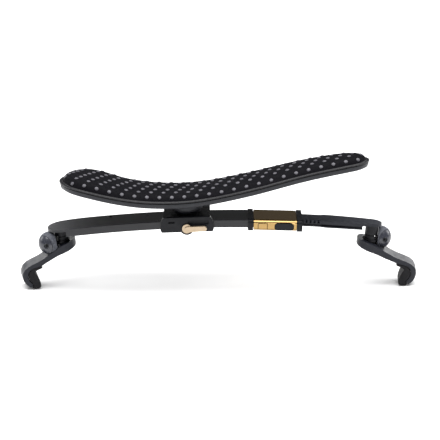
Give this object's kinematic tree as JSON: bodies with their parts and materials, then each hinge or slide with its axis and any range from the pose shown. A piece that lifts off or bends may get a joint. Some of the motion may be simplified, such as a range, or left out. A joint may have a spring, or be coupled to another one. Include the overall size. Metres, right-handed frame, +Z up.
{
  "type": "violin shoulder rest",
  "caption": "Arched bar with a soft pad on a sliding swivel saddle, a latched telescoping end, and swivelling clawed feet that grip an instrument's edges.",
  "frame": {"origin": "under the middle of the bounding box, on the plane the claws stand on", "axes": "+X along the bar towards the telescoping end, -Y the side with the lever and the latch button, +Z up through the pad"},
  "size_m": [0.2396, 0.0404, 0.0817],
  "materials": {
    "gloss_bar": "polished black composite",
    "grey_plastic": "satin charcoal, finely grained",
    "black_plastic": "satin black",
    "pad_plastic": "satin dark grey",
    "gold": "polished and anodised, soft gold",
    "champagne": "satin anodised, pale gold",
    "brass": "turned",
    "foam": "dimpled soft foam, matte black",
    "claw_rubber": "matte black",
    "steel": "plain"
  },
  "bodies": {
    "bar": {"main_bar": "gloss_bar", "stop_screw": "steel", "gold_sleeve": "gold", "left_collar": "black_plastic", "right_collar": "black_plastic", "pawl_pin": "steel", "pawl_spring": "steel", "left_stem": "black_plastic", "left_clip": "steel"},
    "extension": {"extension_arm": "grey_plastic", "rail_stop_pin": "steel", "right_stem": "black_plastic", "right_clip": "steel"},
    "saddle": {"saddle_housing": "black_plastic", "swivel_nut": "brass", "pivot_screw": "steel", "friction_washer": "grey_plastic"},
    "lever": {"cam_lever": "champagne", "cam_pin": "steel"},
    "shoe": {"brake_shoe": "grey_plastic"},
    "pad": {"swivel_disc": "black_plastic", "shell_screw_1": "steel", "shell_screw_2": "steel", "shell_screw_3": "steel", "pad_shell": "pad_plastic", "pad_cushion": "foam"},
    "button": {"push_button": "black_plastic"},
    "pawl": {"latch_pawl": "steel"},
    "left_carrier": {"left_bush": "grey_plastic"},
    "left_foot": {"left_foot_arm": "grey_plastic", "left_hub": "grey_plastic", "left_hub_cap": "grey_plastic", "left_lock_screw": "steel", "left_plunger": "steel", "left_plunger_spring": "steel", "left_claw": "claw_rubber"},
    "right_carrier": {"right_bush": "grey_plastic"},
    "right_foot": {"right_foot_arm": "grey_plastic", "right_hub": "grey_plastic", "right_hub_cap": "grey_plastic", "right_lock_screw": "steel", "right_plunger": "steel", "right_plunger_spring": "steel", "right_claw": "claw_rubber"}
  },
  "joints": [
    {"name": "extension_slide", "type": "hinge", "parent": "bar", "child": "extension", "pos_m": [0.00685, 0, -0.80188], "axis": [0, 1, 0], "range_deg": [-0.71, 0.54]},
    {"name": "saddle_slide", "type": "hinge", "parent": "bar", "child": "saddle", "pos_m": [0.00685, 0, -0.80188], "axis": [0, 1, 0], "range_deg": [-1.9, 1.32]},
    {"name": "pad_swivel", "type": "hinge", "parent": "saddle", "child": "pad", "pos_m": [-0.01861, 0, 0.04274], "axis": [-0.0301, 0, 0.9995], "range_deg": [-25, 25]},
    {"name": "lever_swing", "type": "hinge", "parent": "saddle", "child": "lever", "pos_m": [-0.01865, -0.013, 0.03934], "axis": [0, 1, 0], "range_deg": [0, 90]},
    {"name": "shoe_release", "type": "hinge", "parent": "saddle", "child": "shoe", "pos_m": [-0.01845, 0.0032, 0.03759], "axis": [0.9995, 0, 0.0301], "range_deg": [0, 1.5]},
    {"name": "button_press", "type": "slide", "parent": "bar", "child": "button", "axis": [0, 1, 0], "range_m": [0, 0.0008], "stiffness_N_per_m": 40, "springref_m": -0.0004},
    {"name": "pawl_rock", "type": "hinge", "parent": "bar", "child": "pawl", "pos_m": [0.03776, -0.00695, 0.03986], "axis": [0.0319, 0, 0.9995], "range_deg": [0, 8]},
    {"name": "left_height", "type": "slide", "parent": "bar", "child": "left_carrier", "axis": [0.121, 0, -0.9926], "range_m": [0, 0.0036]},
    {"name": "left_swivel", "type": "hinge", "parent": "left_carrier", "child": "left_foot", "pos_m": [-0.09434, 0, 0.02797], "axis": [-0.121, 0, 0.9926], "range_deg": [-30, 30]},
    {"name": "right_height", "type": "slide", "parent": "extension", "child": "right_carrier", "axis": [-0.1016, 0, -0.9948], "range_m": [0, 0.0036]},
    {"name": "right_swivel", "type": "hinge", "parent": "right_carrier", "child": "right_foot", "pos_m": [0.09156, 0, 0.02781], "axis": [0.1016, 0, 0.9948], "range_deg": [-30, 30]}
  ],
  "couplings": [
    {"joint": "shoe_release", "follows": "lever_swing", "ratio": 0.016666},
    {"joint": "pawl_rock", "follows": "button_press", "rad_per_m": 174}
  ]
}
